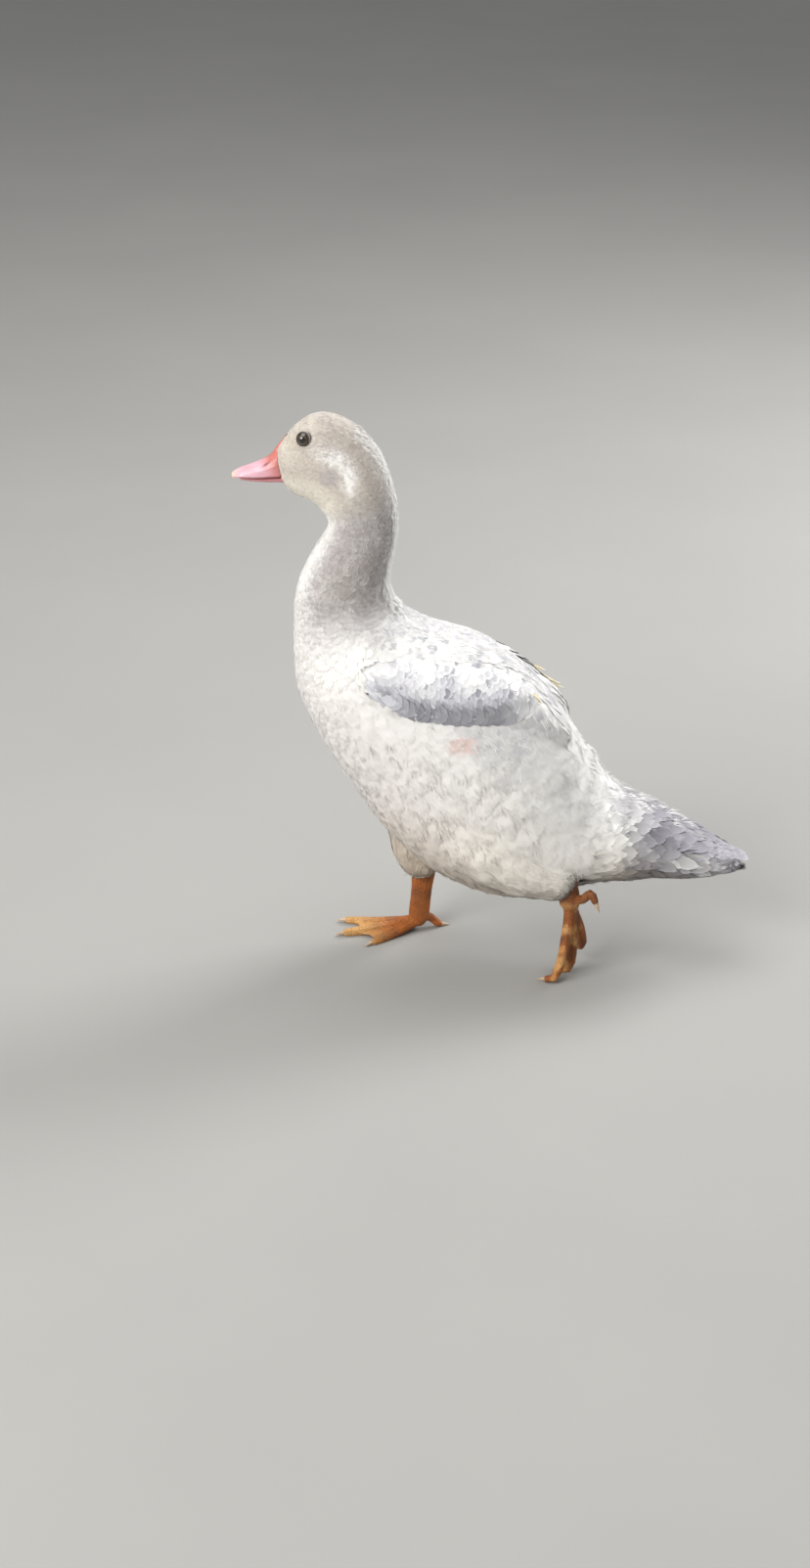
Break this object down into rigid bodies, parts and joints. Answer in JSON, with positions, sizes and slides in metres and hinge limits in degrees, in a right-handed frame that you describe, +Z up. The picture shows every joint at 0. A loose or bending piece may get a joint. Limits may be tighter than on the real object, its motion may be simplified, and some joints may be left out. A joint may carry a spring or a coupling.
{
  "type": "young muscovy duck",
  "caption": "Life-size model of a young white domestic Muscovy duck in mid-stride, head up, with short ungrown wings.",
  "frame": {"origin": "on the floor below the middle of the bounding box, from bill tip to tail tip", "axes": "-X is the way the duck faces, +Y is its right side, +Z is up"},
  "size_m": [0.439, 0.149, 0.4962],
  "materials": {
    "feather_white": "soft matt white plumage",
    "feather_grey": "soft matt pale lavender-grey plumage",
    "bill_pink": "satin pink skin",
    "nail_yellow": "satin pale horn",
    "leg_orange": "satin scaly skin",
    "claw_horn": "satin horn",
    "eye_brown": "wet gloss"
  },
  "bodies": {
    "root": {"head": "feather_white", "neck_upper": "feather_white", "neck_lower": "feather_white", "trunk": "feather_white", "rump": "feather_white", "tail": "feather_grey", "bill_upper": "bill_pink", "bill_nail": "nail_yellow", "bill_lower": "bill_pink", "eye_right": "eye_brown", "eye_left": "eye_brown", "wing_right": "feather_grey", "wing_left": "feather_grey", "thigh_right": "feather_white", "thigh_left": "feather_white", "shank_right": "leg_orange", "shank_left": "leg_orange", "foot_right": "leg_orange", "foot_left": "leg_orange", "claw_right_inner": "claw_horn", "claw_right_middle": "claw_horn", "claw_right_outer": "claw_horn", "claw_right_hallux": "claw_horn", "claw_left_inner": "claw_horn", "claw_left_middle": "claw_horn", "claw_left_outer": "claw_horn", "claw_left_hallux": "claw_horn"}
  },
  "joints": []
}
